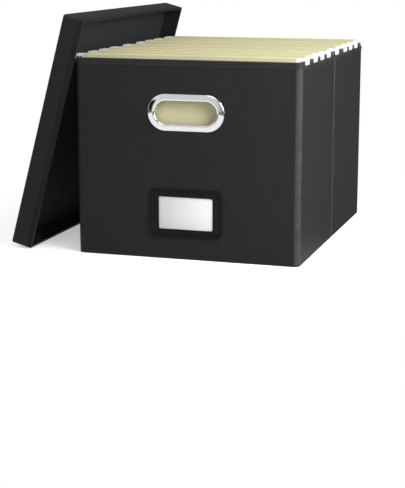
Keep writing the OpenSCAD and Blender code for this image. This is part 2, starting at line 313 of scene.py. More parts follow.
def newGroup(name, inputs, outputs, treeType="ShaderNodeTree"):
    # An input is given by its starting value, or by its type alone
    tree = bpy.data.node_groups.new(name, treeType)
    numberTypes = {float: "Float", int: "Int"}
    for label, value in inputs.items():
        dataType = numberTypes.get(type(value), value)
        socket = tree.interface.new_socket(
            label, in_out="INPUT", socket_type=f"NodeSocket{dataType}")
        if dataType != value:
            socket.default_value = value
    for label, dataType in outputs.items():
        tree.interface.new_socket(label, in_out="OUTPUT", socket_type=f"NodeSocket{dataType}")
    return tree, tree.nodes.new("NodeGroupInput").outputs, tree.nodes.new("NodeGroupOutput").inputs


# Shader groups shared by the materials. Patterns put out a colour, a share for the roughness
# and a height, and their inputs bear the names of the values in a look.

patternInputs = {"place": "Vector", "dark": "Color", "light": "Color"}
patternOutputs = {"colour": "Color", "share": "Float", "height": "Float"}


def makeWeaveGroup():
    # Plain weave on a map in metres, with long faint slubs along its second direction
    tree, given, result = newGroup("plainWeave", dict(
        patternInputs, pitch=0.5 * mm, slubWidth=2 * mm, slubLength=60 * mm, slubRise=1.0),
        patternOutputs)
    split = addNode(tree, "SeparateXYZ", {"Vector": given["place"]})
    runs = [calc(tree, "DIVIDE", split[axis], given["pitch"]) for axis in "XY"]
    threads = [calc(tree, "SINE", calc(tree, "MULTIPLY", calc(tree, "FRACT", run), math.pi))
               for run in runs]
    squares = calc(tree, "ADD", *[calc(tree, "FLOOR", run) for run in runs])
    parity = calc(tree, "ABSOLUTE", calc(tree, "MODULO", squares, 2.0))
    over, under = [calc(tree, "MULTIPLY", near, calc(tree, "MULTIPLY_ADD", far, 0.4, 0.6))
                   for near, far in (threads, threads[::-1])]
    height = addNode(tree, "Mix", {0: parity, 2: under, 3: over})[0]
    stretched = combine(tree, X=calc(tree, "DIVIDE", split["X"], given["slubWidth"]),
                        Y=calc(tree, "DIVIDE", split["Y"], given["slubLength"]))
    slub = addNoise(tree, stretched, 1.0, 3.0)
    patch = addNoise(tree, given["place"], 9.0, 2.0)
    share = calc(tree, "MULTIPLY_ADD", slub, 0.6, calc(tree, "MULTIPLY", patch, 0.08))
    share = calc(tree, "MULTIPLY_ADD", height, 0.35, share)
    feed(tree, result, {
        "colour": blendColour(tree, share, given["dark"], given["light"]), "share": share,
        "height": calc(tree, "MULTIPLY_ADD", slub, given["slubRise"], height)})
    return tree


def makeFibreGroup():
    # Short fibres and soft mottling of card and board
    tree, given, result = newGroup("paperFibre", dict(
        patternInputs, fibre="Color", fleck=0.5, fibreScale=900.0, mottleScale=22.0),
        patternOutputs)
    drawn = drawOut(tree, given["place"], 0.35)
    fibre = addNoise(tree, drawn, given["fibreScale"], 4.0, 0.65)
    mottle = addNoise(tree, given["place"], given["mottleScale"], 3.0)
    mottled = blendColour(tree, mottle, given["dark"], given["light"])
    flecks = calc(tree, "MULTIPLY", fibre, given["fleck"])
    feed(tree, result, {
        "colour": blendColour(tree, flecks, mottled, given["fibre"]), "share": fibre,
        "height": calc(tree, "MULTIPLY_ADD", fibre, 0.7, calc(tree, "MULTIPLY", mottle, 0.3))})
    return tree


def makeScuffGroup():
    # Fine handling marks on metal and plastic
    tree, given, result = newGroup(
        "fineScuffs", dict(patternInputs, scale=120.0), patternOutputs)
    smudge = addNoise(tree, given["place"], given["scale"], 5.0, 0.6)
    drawn = drawOut(tree, given["place"], 0.12)
    feed(tree, result, {
        "colour": blendColour(tree, smudge, given["dark"], given["light"]), "share": smudge,
        "height": addNoise(tree, drawn, calc(tree, "MULTIPLY", given["scale"], 25.0), 2.0)})
    return tree


def makeRubAndPaintedLightGroup():
    # Rubbed edges, and painted light on the box cover and the manila card: the stored edge value,
    # broken up by a noise
    tree, given, result = newGroup("edgeRubAndPaintedLight", {
        "place": "Vector", "edge": 0.0, "rubAndPaintedLightShare": 0.5, "patchScale": 60.0}, {"mask": "Float"})
    patch = addNoise(tree, given["place"], given["patchScale"], 4.0)
    broken = calc(tree, "MULTIPLY", given["edge"], calc(tree, "MULTIPLY_ADD", patch, 1.2, 0.1))
    feed(tree, result, {"mask": calc(tree, "MULTIPLY", broken, given["rubAndPaintedLightShare"], use_clamp=True)})
    return tree


weaveGroup = makeWeaveGroup()
fibreGroup = makeFibreGroup()
scuffGroup = makeScuffGroup()
rubAndPaintedLightGroup = makeRubAndPaintedLightGroup()
print("shader groups ready")


# Materials

def placeGroup(tree, group, values):
    # Feeds the group's inputs from the values that bear their names
    node = tree.nodes.new("ShaderNodeGroup")
    node.node_tree = group
    feed(tree, node.inputs, {key: value for key, value in values.items() if key in node.inputs})
    return node.outputs


def newMaterial(name, group, look):
    # A look's keys that are the shader's own sockets are set on it as they are
    material = bpy.data.materials.new(name)
    material.use_nodes = True
    tree = material.node_tree
    sockets = tree.nodes["Principled BSDF"].inputs
    place = addNode(tree, "TexCoord")["Object"]
    edge = addNode(tree, "Attribute", attribute_name="edgeWearAndPaintedLight")["Fac"]
    rubAndPaintedLight = placeGroup(tree, rubAndPaintedLightGroup, dict(look, place=place, edge=edge))
    if group == weaveGroup:
        place = addNode(tree, "UVMap", uv_map="clothRun")["UV"]
    pattern = placeGroup(tree, group, dict(look, place=place))
    bump = {"Height": pattern["height"], "Distance": look["bump"], "Strength": 1.0}
    feed(tree, sockets, {key: value for key, value in look.items() if key in sockets})
    feed(tree, sockets, {
        "Base Color": blendColour(tree, rubAndPaintedLight["mask"], pattern["colour"], look["rubbed"]),
        "Roughness": blendNumber(tree, pattern["share"], *look["rough"]),
        "Normal": addNode(tree, "Bump", bump)["Normal"]})
    return material


# On the box cover the light rubbed colour is painted highlight on the right corners and the
# grooves, as well as wear
coverClothLook = {
    "dark": (0.0125, 0.0125, 0.0123, 1), "light": (0.028, 0.028, 0.0275, 1),
    "rubbed": (0.068, 0.068, 0.0666, 1), "rubAndPaintedLightShare": 0.8, "rough": (0.36, 0.5), "bump": 0.03 * mm,
    "pitch": 0.55 * mm, "slubWidth": 1.6 * mm, "slubLength": 70 * mm, "slubRise": 0.8,
    "Specular IOR Level": 0.1, "Sheen Weight": 0.01, "Sheen Roughness": 0.4,
    "Sheen Tint": (0.8, 0.8, 0.8, 1),
}
hemClothLook = dict(
    coverClothLook, dark=(0.016, 0.016, 0.0158, 1), light=(0.034, 0.034, 0.0334, 1),
    slubLength=12 * mm, slubWidth=8 * mm, rubAndPaintedLightShare=0.15)
coverCloth = newMaterial("coverCloth", weaveGroup, coverClothLook)
lidCloth = newMaterial("lidCloth", weaveGroup, dict(coverClothLook, rubAndPaintedLightShare=0.2))
hemCloth = newMaterial("hemCloth", weaveGroup, hemClothLook)
# The lid's hem is a darker copy of the hem cloth: painted shade that keeps its free edge from
# lighting up under the lamps
lidHemShadedCloth = newMaterial("lidHemShadedCloth", weaveGroup, dict(
    hemClothLook, dark=(0.0085, 0.0085, 0.0083, 1), light=(0.019, 0.019, 0.0186, 1), rubAndPaintedLightShare=0.05,
    **{"Specular IOR Level": 0.06}))
liningCloth = newMaterial("liningCloth", weaveGroup, {
    "dark": (0.0088, 0.0088, 0.0094, 1), "light": (0.019, 0.019, 0.0203, 1),
    "rubbed": (0.034, 0.034, 0.034, 1), "rubAndPaintedLightShare": 0.3, "rough": (0.7, 0.88), "bump": 0.06 * mm,
    "pitch": 0.9 * mm, "slubWidth": 4 * mm, "slubLength": 9 * mm, "slubRise": 1.0,
    "Specular IOR Level": 0.2, "Sheen Weight": 0.04, "Sheen Roughness": 0.5,
    "Sheen Tint": (0.75, 0.77, 0.85, 1)})
# The rubbed colour, darker than the card, is painted shade: it dims the light that the sheets'
# rounded tops catch
manilaCard = newMaterial("manilaCard", fibreGroup, {
    "dark": (0.61, 0.572, 0.342, 1), "light": (0.665, 0.627, 0.39, 1),
    "fibre": (0.70, 0.663, 0.445, 1), "rubbed": (0.54, 0.506, 0.313, 1), "rubAndPaintedLightShare": 0.7,
    "fleck": 0.35, "fibreScale": 1500.0, "mottleScale": 14.0, "rough": (0.62, 0.78),
    "bump": 0.02 * mm, "Specular IOR Level": 0.3})
whiteCard = newMaterial("whiteCard", fibreGroup, {
    "dark": (0.87, 0.87, 0.87, 1), "light": (0.90, 0.90, 0.90, 1),
    "fibre": (0.93, 0.93, 0.92, 1), "rubbed": (0.96, 0.96, 0.96, 1), "rubAndPaintedLightShare": 0.3,
    "fleck": 0.3, "fibreScale": 2000.0, "mottleScale": 30.0, "rough": (0.55, 0.7),
    "bump": 0.01 * mm, "Specular IOR Level": 0.3})
greyBoard = newMaterial("greyBoard", fibreGroup, {
    "dark": (0.22, 0.20, 0.16, 1), "light": (0.30, 0.27, 0.22, 1),
    "fibre": (0.40, 0.36, 0.29, 1), "rubbed": (0.42, 0.38, 0.31, 1), "rubAndPaintedLightShare": 0.4,
    "fleck": 0.6, "fibreScale": 700.0, "mottleScale": 30.0, "rough": (0.8, 0.95),
    "bump": 0.06 * mm, "Specular IOR Level": 0.2})
brightMetal = newMaterial("brightMetal", scuffGroup, {
    "dark": (0.80, 0.80, 0.815, 1), "light": (0.88, 0.88, 0.89, 1),
    "rubbed": (0.92, 0.92, 0.92, 1), "rubAndPaintedLightShare": 0.3, "scale": 90.0, "rough": (0.05, 0.13),
    "bump": 0.0015 * mm, "Metallic": 1.0})
blackPlastic = newMaterial("blackPlastic", scuffGroup, {
    "dark": (0.003, 0.003, 0.0032, 1), "light": (0.005, 0.005, 0.0052, 1),
    "rubbed": (0.02, 0.02, 0.02, 1), "rubAndPaintedLightShare": 0.6, "scale": 300.0, "rough": (0.2, 0.3),
    "bump": 0.006 * mm, "Specular IOR Level": 0.1})
whiteCoat = newMaterial("whiteCoat", scuffGroup, {
    "dark": (0.92, 0.917, 0.90, 1), "light": (0.96, 0.957, 0.94, 1),
    "rubbed": (0.90, 0.90, 0.89, 1), "rubAndPaintedLightShare": 0.25, "scale": 160.0, "rough": (0.28, 0.42),
    "bump": 0.004 * mm, "Specular IOR Level": 0.5})
clearPlastic = newMaterial("clearPlastic", scuffGroup, {
    "dark": (0.93, 0.95, 0.98, 1), "light": (0.97, 0.985, 1.0, 1),
    "rubbed": (1.0, 1.0, 1.0, 1), "rubAndPaintedLightShare": 0.3, "scale": 140.0, "rough": (0.13, 0.15),
    "bump": 0.00005 * mm, "Transmission Weight": 1.0, "IOR": 1.47, "Alpha": 0.05})
clearWindow = newMaterial("clearWindow", scuffGroup, {
    "dark": (0.95, 0.96, 0.98, 1), "light": (0.98, 0.99, 1.0, 1),
    "rubbed": (1.0, 1.0, 1.0, 1), "rubAndPaintedLightShare": 0.2, "scale": 80.0, "rough": (0.02, 0.05),
    "bump": 0.00005 * mm, "Transmission Weight": 1.0, "IOR": 1.4, "Alpha": 0.08})
blackThread = newMaterial("blackThread", scuffGroup, {
    "dark": (0.012, 0.012, 0.013, 1), "light": (0.04, 0.04, 0.042, 1),
    "rubbed": (0.06, 0.06, 0.06, 1), "rubAndPaintedLightShare": 0.3, "scale": 900.0, "rough": (0.5, 0.7),
    "bump": 0.04 * mm, "Specular IOR Level": 0.35, "Sheen Weight": 0.1})
print("materials ready")


# Geometry Nodes trees

def setDown(tree, result, material, inputs):
    # Sets copies down on points, makes them real and gives them their material
    placed = addNode(tree, "GeometryNodeInstanceOnPoints", inputs)[0]
    real = addNode(tree, "GeometryNodeRealizeInstances", {"Geometry": placed})[0]
    feed(tree, result, {0: addNode(tree, "GeometryNodeSetMaterial", {
        "Geometry": real, "Material": material})[0]})


def makeStitchTree():
    # Short stitches, one after another, along the edges of a path
    tree, given, result = newGroup("stitchRun", {
        "Path": "Geometry", "Pitch": 4 * mm, "Stitch Length": 3 * mm, "Thread Radius": 0.3 * mm,
        "Slant": 0.05, "Seed": 7, "Thread": "Material"}, {"Stitches": "Geometry"},
        "GeometryNodeTree")
    curve = addNode(tree, "GeometryNodeMeshToCurve", {"Mesh": given["Path"]})[0]
    evened = addNode(tree, "GeometryNodeResampleCurve", {
        "Curve": curve, "Length": given["Pitch"]}, mode="LENGTH")[0]
    tangent = addNode(tree, "GeometryNodeInputTangent")[0]
    turned = addNode(tree, "FunctionNodeAlignRotationToVector", {"Vector": tangent}, axis="Z")[0]
    # A random lean, from -1 to 1 on each axis, times the slant
    jitter = addNode(tree, "FunctionNodeRandomValue", {"Seed": given["Seed"]},
                     data_type="FLOAT_VECTOR")[0]
    wide = vectorCalc(tree, "MULTIPLY_ADD", jitter, (2.0, 2.0, 2.0), (-1.0, -1.0, -1.0))[0]
    lean = addNode(tree, "VectorMath", {0: wide, "Scale": given["Slant"]},
                   operation="SCALE")[0]
    leanTurn = addNode(tree, "FunctionNodeEulerToRotation", {"Euler": lean})[0]
    rotated = addNode(tree, "FunctionNodeRotateRotation", {
        "Rotation": turned, "Rotate By": leanTurn}, rotation_space="LOCAL")[0]
    ball = addNode(tree, "GeometryNodeMeshIcoSphere", {"Radius": 1.0, "Subdivisions": 2})["Mesh"]
    size = combine(tree, X=given["Thread Radius"], Y=given["Thread Radius"],
                   Z=calc(tree, "MULTIPLY", given["Stitch Length"], 0.5))
    setDown(tree, result, given["Thread"], {
        "Points": evened, "Instance": ball, "Rotation": rotated, "Scale": size})
    return tree


def makeRodTree():
    # Two flat rods from one face, a gap apart
    tree, given, result = newGroup("rodPair", {
        "Face": "Geometry", "Thickness": 1.2 * mm, "Gap": 12 * mm, "Middle": 0.0,
        "Coating": "Material"}, {"Rods": "Geometry"}, "GeometryNodeTree")
    grown = addNode(tree, "GeometryNodeExtrudeMesh", {
        "Mesh": given["Face"], "Offset": combine(tree, Y=1.0),
        "Offset Scale": given["Thickness"], "Individual": False})["Mesh"]
    back = addNode(tree, "GeometryNodeFlipFaces", {"Mesh": given["Face"]})[0]
    join = tree.nodes.new("GeometryNodeJoinGeometry")
    for part in (grown, back):
        tree.links.new(part, join.inputs[0])
    merged = addNode(tree, "GeometryNodeMergeByDistance", {
        "Geometry": join.outputs[0], "Distance": 0.001 * mm})[0]
    halfGap = calc(tree, "MULTIPLY", given["Gap"], 0.5)
    halfRod = calc(tree, "MULTIPLY", given["Thickness"], 0.5)
    first = calc(tree, "SUBTRACT", given["Middle"], calc(tree, "ADD", halfGap, halfRod))
    row = addNode(tree, "GeometryNodeMeshLine", {
        "Count": 2, "Start Location": combine(tree, Y=first),
        "Offset": combine(tree, Y=given["Gap"])})[0]
    setDown(tree, result, given["Coating"], {"Points": row, "Instance": merged})
    return tree


def growPiece(piece, tree, values):
    # Runs a tree on a piece and keeps its result as a plain mesh
    maker = piece.modifiers.new(tree.name, "NODES")
    maker.node_group = tree
    sockets = {item.name: item.identifier for item in tree.interface.items_tree
               if item.in_out == "INPUT"}
    for label, value in values.items():
        maker[sockets[label]] = value
    applyModifiers(piece)


stitchTree = makeStitchTree()
rodTree = makeRodTree()
print("geometry node trees ready")


# Box body

coverLow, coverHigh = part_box("outer_cover")
hemLow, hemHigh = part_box("rim_hem")
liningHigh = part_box("inner_lining")[1]
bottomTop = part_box("bottom_panel")[1].z
boxWidth = coverHigh.x - coverLow.x
boxDepth = coverHigh.y - coverLow.y
boxTop = hemHigh.z
hemThick = hemHigh.x - coverHigh.x
wallFace = {-1: coverLow.y, 1: coverHigh.y}  # front and rear

boxLook = dict(
    cornerRadius=8 * mm, coverThick=0.8 * mm, liningThick=0.6 * mm,
    grooveWidth=5 * mm, grooveDepth=1.5 * mm, grooveSlope=1.7 * mm,
    grooveRound=2.6 * mm,
    footRound=1.4 * mm,  # where the cover turns under the bottom
    tuckUnder=1.2 * mm,  # how far the cover stops below the hem's top
    bottomPlay=0.3 * mm, bottomEdge=0.6 * mm, liningPlay=0.1 * mm,
    holePlay=1.5 * mm,  # the hole in the cloth stays hidden under the metal ring
    cutReach=20 * mm,
    leftWearAndHighlightShare=0.15, grooveHighlightReach=2.2 * mm,  # painted highlight and wear kept at the left, and reach of the grooves' painted highlight
)
wallThick = coverHigh.x - liningHigh.x + boxLook["liningThick"]
clothTop = boxTop - boxLook["tuckUnder"]


def groovedOutline(out):
    # Plan of the box with the fold grooves in its two sides
    wide = boxWidth / 2 + out
    deep = boxDepth / 2 + out
    half = boxLook["grooveWidth"] / 2 - out
    inner = half - boxLook["grooveSlope"]
    floor = wide - boxLook["grooveDepth"]
    corner = boxLook["cornerRadius"] + out
    soft = boxLook["grooveRound"]
    points = [(-wide, -deep), (wide, -deep), (wide, -half), (floor, -inner), (floor, inner),
              (wide, half), (wide, deep), (-wide, deep), (-wide, half), (-floor, inner),
              (-floor, -inner), (-wide, -half)]
    few = arcSteps // 2  # the groove's shallow bends, in facets as steep as the corners'
    return roundCorners(points, [corner, corner, soft, soft, soft, soft] * 2,
                        [arcSteps, arcSteps, few, few, few, few] * 2)


def plainOutline(out, cells=(48, 62)):
    return grownRect(boxWidth, boxDepth, boxLook["cornerRadius"], out, cells)


handLow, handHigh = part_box("front_handle_bezel")
handMiddle = middle(handLow, handHigh)
ringLook = dict(
    flange=9.2 * mm, throat=1 * mm, ovalSteps=24, runCells=(8, 1),
    endPull=1.1 * mm,  # the flange is this much wider at its two ends
    # Shares out from the opening and up from the wall
    crown=((0.0, 0.30), (0.02, 0.52), (0.06, 0.72), (0.12, 0.87), (0.20, 0.97), (0.28, 1.0),
           (0.36, 0.98), (0.44, 0.91), (0.55, 0.80), (0.68, 0.66), (0.80, 0.52),
           (0.90, 0.39), (0.96, 0.27), (0.99, 0.14), (1.0, 0.03)),
    seat=0.995,  # share of the flange that meets the wall
    platePlay=0.05 * mm, plateRounds=[0.45 * mm, 0, 0, 0.3 * mm],
)
openingWidth = handHigh.x - handLow.x - 2 * ringLook["flange"]
openingHeight = handHigh.z - handLow.z - 2 * ringLook["flange"]


def ovalOutline(out):
    # Flat-sided oval: the opening, grown by a distance
    pull = ringLook["endPull"] * max(0, 1 - out / ringLook["flange"])
    radius = openingHeight / 2 + out - 0.001 * mm  # a hair short of a half round
    return roundedRect(openingWidth + 2 * out - 2 * pull, openingHeight + 2 * out, radius,
                       steps=ringLook["ovalSteps"], cells=ringLook["runCells"])


def handPlace(side):
    # Stands an outline up at the hand hole of the front (-1) or rear (1) wall
    turn = upright if side < 0 else Matrix.Rotation(math.pi, 4, "Z") @ upright
    return Matrix.Translation((handMiddle.x, wallFace[side], handMiddle.z)) @ turn


def cutHandHoles(piece):
    out = ringLook["throat"] + boxLook["holePlay"]
    reach = boxLook["cutReach"]
    cutters = [carry("handCutter", ovalOutline, [(out, -reach), (out, reach)], -1,
                     handPlace(side)) for side in (-1, 1)]
    for cutter in cutters:
        hole = piece.modifiers.new("hole", "BOOLEAN")
        hole.operation = "DIFFERENCE"
        hole.solver = "EXACT"
        hole.use_self = True
        hole.object = cutter
    applyModifiers(piece)
    for cutter in cutters:
        bpy.data.objects.remove(cutter)


def makeCover():
    thick = boxLook["coverThick"]
    foot = boxLook["footRound"]
    profile = arc(-foot, foot, foot, -90, 0) + [
        (0, clothTop), (-thick, clothTop), (-thick, foot), (-foot - thick, thick)]
    cover = carry("boxCover", groovedOutline, profile)
    cutHandHoles(cover)
    finishPiece(cover, "box", coverCloth, ["outer_cover"])
    # Painted highlight with some wear: the right corners and the grooves take the light rubbed
    # colour in place of the lamp light that catches them, and the left corners keep little of it
    for point, wearAndHighlight in zip(cover.data.vertices, cover.data.attributes["edgeWearAndPaintedLight"].data):
        if abs(point.co.y) < boxLook["grooveHighlightReach"]:
            wearAndHighlight.value = 1
        elif point.co.x < 0:
            wearAndHighlight.value *= boxLook["leftWearAndHighlightShare"]


def makeLining():
    outside = liningHigh.x - coverHigh.x
    inside = outside - boxLook["liningThick"]
    low = bottomTop + boxLook["liningPlay"]
    lining = carry("boxLining", plainOutline, [
        (outside, low), (outside, clothTop), (inside, clothTop), (inside, low)])
    cutHandHoles(lining)
    finishPiece(lining, "box", liningCloth, ["inner_lining"])


def makeBottom():
    inset = boxLook["footRound"] + boxLook["coverThick"] + boxLook["bottomPlay"]
    bottom = carry("boxBottom", lambda out: plainOutline(out, (1, 1)),
                   slabRims(bottomTop, boxLook["bottomEdge"], inset), -1)
    finishPiece(bottom, "box", coverCloth, ["bottom_panel"])


hemLook = dict(
    topRound=1.4 * mm, edgeRound=0.28 * mm,
    # Unevenness of the lower edge, and its place in the noise
    waver=0.22 * mm, waverReach=3 * mm, waverPitch=30, waverSalt=1.7,
    stitchUp=2.1 * mm,  # stitches above the band's lower edge
    sink=0.35,  # how deep a thread's middle lies, as a share of its radius
)
stitchLook = {"Pitch": 4.1 * mm, "Stitch Length": 3.1 * mm, "Thread Radius": 0.27 * mm,
              "Slant": 0.05, "Seed": 11, "Thread": blackThread}


def waverEdge(piece, low, look):
    # Lets a band's free edge wander a little
    for point in piece.data.vertices:
        share = max(0, 1 - abs(point.co.z - low) / look["waverReach"])
        spot = point.co * hemLook["waverPitch"]
        spot.z = look["waverSalt"]
        point.co.z += look["waver"] * share * noise.noise(spot)


def makeStitches(name, outline, runs, height, body, place=None):
    # One closed row of stitches for each run (out, side)
    sink = stitchLook["Thread Radius"] * hemLook["sink"]
    points = []
    edges = []
    for out, side in runs:
        loop = atHeight(outline(out - side * sink), height)
        first = len(points)
        points += loop
        edges += [(first + i, first + (i + 1) % len(loop)) for i in range(len(loop))]
    stitches = newPiece(name, points, edges=edges, place=place)
    growPiece(stitches, stitchTree, stitchLook)
    finishPiece(stitches, body, blackThread)


def makeHem():
    # Band over the walls' edge: outer leg, top and inner leg, open below
    low = hemLow.z
    outside = hemThick
    inside = -wallThick - hemThick
    under = boxTop - hemThick
    corners = [(outside, low), (outside, boxTop), (inside, boxTop), (inside, low),
               (inside + hemThick, low), (inside + hemThick, under), (outside - hemThick, under),
               (outside - hemThick, low)]
    soft = hemLook["edgeRound"]
    big = hemLook["topRound"]
    small = max(big - hemThick, 0.1 * mm)
    hem = carry("boxHem", plainOutline,
                roundCorners(corners, [soft, big, big, soft, soft, small, small, soft]))
    waverEdge(hem, low, hemLook)
    finishPiece(hem, "box", hemCloth, ["rim_hem"])
    makeStitches("boxHemStitches", plainOutline, ((outside, 1), (inside, -1)),
                 low + hemLook["stitchUp"], "box")


makeCover()
makeLining()
makeBottom()
makeHem()
print("box body ready")


# Hand holes: bright ring outside, flat plate inside

def makeRing(wall, side):
    node = f"{wall}_handle_bezel"
    low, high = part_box(node)
    rise = wallFace[-1] - handLow.y
    depth = (high.y - low.y) - rise
    flange = ringLook["flange"]
    throat = ringLook["throat"]
    profile = [(flange * out, rise * up) for out, up in reversed(ringLook["crown"])]
    profile += [(0, -depth), (throat, -depth), (throat, 0.0), (flange * ringLook["seat"], 0.0)]
    metal = carry(f"{wall}HandRing", ovalOutline, profile, place=handPlace(side))
    finishPiece(metal, "box", brightMetal, [node], sharpAngle=50, facetAngle=30)


def makePlate(wall, side):
    node = f"{wall}_handle_backplate"
    low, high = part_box(node)
    outer = (high.x - low.x - openingWidth) / 2
    inner = ringLook["throat"] + ringLook["platePlay"]
    near = abs(wallFace[side]) - max(abs(low.y), abs(high.y))
    far = abs(wallFace[side]) - min(abs(low.y), abs(high.y))
    corners = [(outer, -far), (outer, -near), (inner, -near), (inner, -far)]
    plate = carry(f"{wall}HandPlate", ovalOutline,
                  roundCorners(corners, ringLook["plateRounds"], steps=4), place=handPlace(side))
    finishPiece(plate, "box", brightMetal, [node], facetAngle=22.5)


for makePart in (makeRing, makePlate):
    for wall, side in (("front", -1), ("rear", 1)):
        makePart(wall, side)
print("hand holes ready")


# Label holder

holderLow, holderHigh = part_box("label_frame")
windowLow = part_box("label_window")[0]
holderLook = dict(
    cornerRadius=7 * mm,
    windowWidth=75 * mm, windowHeight=43.5 * mm, windowRadius=2 * mm,
    bevel=1.3 * mm,  # slope down to the window
    soft=0.35 * mm,  # how far the edges are softened
    lipWidth=1.6 * mm, lipHeight=0.6 * mm,
    grooveIn=3.4 * mm, grooveWidth=1.1 * mm, grooveDepth=0.35 * mm,
    grooveSide=0.3 * mm,
    letIn=2.4 * mm,  # how far the back is let in round the window and card
    wallPlay=0.02 * mm, windowPlay=0.05 * mm,
    windowEdge=0.08 * mm, cardEdge=0.06 * mm, cardRadius=0.8 * mm,
)


def makeHolder():
    width = holderHigh.x - holderLow.x
    height = holderHigh.z - holderLow.z
    rise = coverLow.y - holderLow.y
    face = rise - holderLook["lipHeight"]
    behind = coverLow.y - windowLow.y + holderLook["windowPlay"]
    lip, side, soft, bevel, letIn, low = [holderLook[key] for key in (
        "lipWidth", "grooveSide", "soft", "bevel", "letIn", "wallPlay")]
    start = lip + holderLook["grooveIn"]
    end = start + holderLook["grooveWidth"]
    floor = face - holderLook["grooveDepth"]
    # Up over the lip and the groove, and down the window's bevel to its back
    outer = [(0, low), (0, rise - 2 * soft), (0.3 * soft, rise - soft), (soft, rise - 0.3 * soft),
             (2 * soft, rise), (lip - soft, rise), (lip - 0.3 * soft, rise - 0.3 * soft),
             (lip, face + soft), (lip + 0.3 * soft, face + 0.2 * soft), (lip + soft, face),
             (start, face), (start + side, floor), (end - side, floor), (end, face)]
    inner = [(bevel + soft, face), (bevel, face - 0.3 * soft), (0.2 * mm, behind + 0.3 * mm),
             (0, behind + 0.15 * mm), (0, behind), (letIn, behind), (letIn + 0.2 * mm, low)]
    least = holderLook["windowRadius"]
    loops = [atHeight(grownRect(width, height, holderLook["cornerRadius"], -inset,
                                leastRadius=least), up) for inset, up in outer]
    loops += [atHeight(grownRect(holderLook["windowWidth"], holderLook["windowHeight"], least, out),
                       up) for out, up in inner]
    place = Matrix.Translation((0, coverLow.y, middle(holderLow, holderHigh).z)) @ upright
    holder = loft("labelHolder", loops, place=place)
    finishPiece(holder, "box", blackPlastic, ["label_frame"], sharpAngle=50,
                facetAngle=20)


def makePane(name, node, edge, radius, body, material):
    low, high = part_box(node)
    size = high - low
    centre = middle(low, high)
    place = Matrix.Translation((centre.x, high.y, centre.z)) @ upright
    pane = carry(name, lambda out: roundedRect(size.x + 2 * out, size.z + 2 * out, radius),
                 slabRims(size.y, edge), -1, place)
    finishPiece(pane, body, material, [node])


makeHolder()
makePane("labelWindow", "label_window", holderLook["windowEdge"], holderLook["windowRadius"],
         "box", clearWindow)
makePane("labelCard", "label_card", holderLook["cardEdge"], holderLook["cardRadius"],
         "label_card", whiteCard)
print("label holder ready")


# Clear rails over the side walls' hems

railLook = dict(wall=1 * mm, outerRound=0.5 * mm, innerRound=0.25 * mm, cells=40)


def makeRail(name, node):
    low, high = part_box(node)
    half = (high.x - low.x) / 2
    leg = high.z - low.z
    wall = railLook["wall"]
    corners = [(-half, -leg), (-half + wall, -leg), (-half + wall, -wall), (half - wall, -wall),
               (half - wall, -leg), (half, -leg), (half, 0), (-half, 0)]
    section = roundCorners(
        corners, [railLook["innerRound"]] * 6 + [railLook["outerRound"]] * 2, steps=5)
    stride = (high.y - low.y) / railLook["cells"]
    x = (low.x + high.x) / 2
    loops = [[(x + p.x, low.y + k * stride, high.z + p.y) for p in section]
             for k in reversed(range(railLook["cells"] + 1))]
    rail = loft(name, loops, -1)
    finishPiece(rail, "box", clearPlastic, [node], facetAngle=18)


makeRail("leftRail", "left_rail")
makeRail("rightRail", "right_rail")
print("rails ready")


# Loose base insert

insertLook = dict(edgeRound=1.1 * mm, cornerRadius=2 * mm)


def makeInsert():
    low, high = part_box("insert_wrap")
    size = high - low
    centre = middle(low, high)
    edge = insertLook["edgeRound"]
    rounds = arc(-edge, edge, edge, -90, 0, steps=4)
    profile = rounds + [(out, size.z - up) for out, up in reversed(rounds)]
    insert = carry(
        "insertWrap",
        lambda out: roundedRect(size.x + 2 * out, size.y + 2 * out, insertLook["cornerRadius"]),
        profile, -1, Matrix.Translation((centre.x, centre.y, low.z)))
    finishPiece(insert, "base_insert", liningCloth, ["insert_wrap"],
                facetAngle=22.5)


makeInsert()
print("base insert ready")


# Lid, made flat in its own place and then leaned against the box

lidNodes = [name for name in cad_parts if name.startswith("lid_")]
lidTop = broadNormal("lid_top_board")
lidUp = Vector((lidTop.z, 0, -lidTop.x))
lidAlong = Vector((0, 1, 0))
acrossLow, acrossHigh = spanAlong(lidNodes, lidUp)
alongLow, alongHigh = spanAlong(lidNodes, lidAlong)
edgeLow, edgeHigh = spanAlong(lidNodes, lidTop)
lidWidth = acrossHigh - acrossLow
lidDepth = alongHigh - alongLow
lidHeight = edgeHigh - edgeLow
lidOrigin = (lidUp * middle(acrossLow, acrossHigh) + lidAlong * middle(alongLow, alongHigh)
             + lidTop * edgeLow)
lidPlace = Matrix.Translation(lidOrigin) @ Matrix((lidUp, lidAlong, lidTop)).transposed().to_4x4()
lidBoardLow = spanAlong(["lid_top_board"], lidTop)[0] - edgeLow
hemTop = spanAlong(["lid_rim_hem"], lidTop)[1] - edgeLow
lidLook = dict(
    cornerRadius=3.5 * mm, topRound=1.8 * mm, innerRound=1.0 * mm,
    coverThick=0.8 * mm, boardThick=3 * mm, liningThick=0.6 * mm,
    edgeRound=1.6 * mm, hemRound=0.25 * mm, stitchDown=2.2 * mm,
    waver=0.2 * mm, waverReach=2 * mm, waverSalt=4.3,
)


def lidOutline(out, cells=(50, 64)):
    return grownRect(lidWidth, lidDepth, lidLook["cornerRadius"], out, cells)


def makeTray(name, outer, inner, material, node):
    # Each side (how far in, top, round) goes up the skirt and over to the flat
    outside, inside = [[(-depth, hemTop)] + arc(-depth - soft, top - soft, soft, 0, 90)
                       for depth, top, soft in (outer, inner)]
    loops = [atHeight(lidOutline(out, (1, 1)), up) for out, up in outside + inside[::-1]]
    tray = loft(name, loops, len(outside) - 1, lidPlace, (1, 0))
    finishPiece(tray, "lid", material, [node])


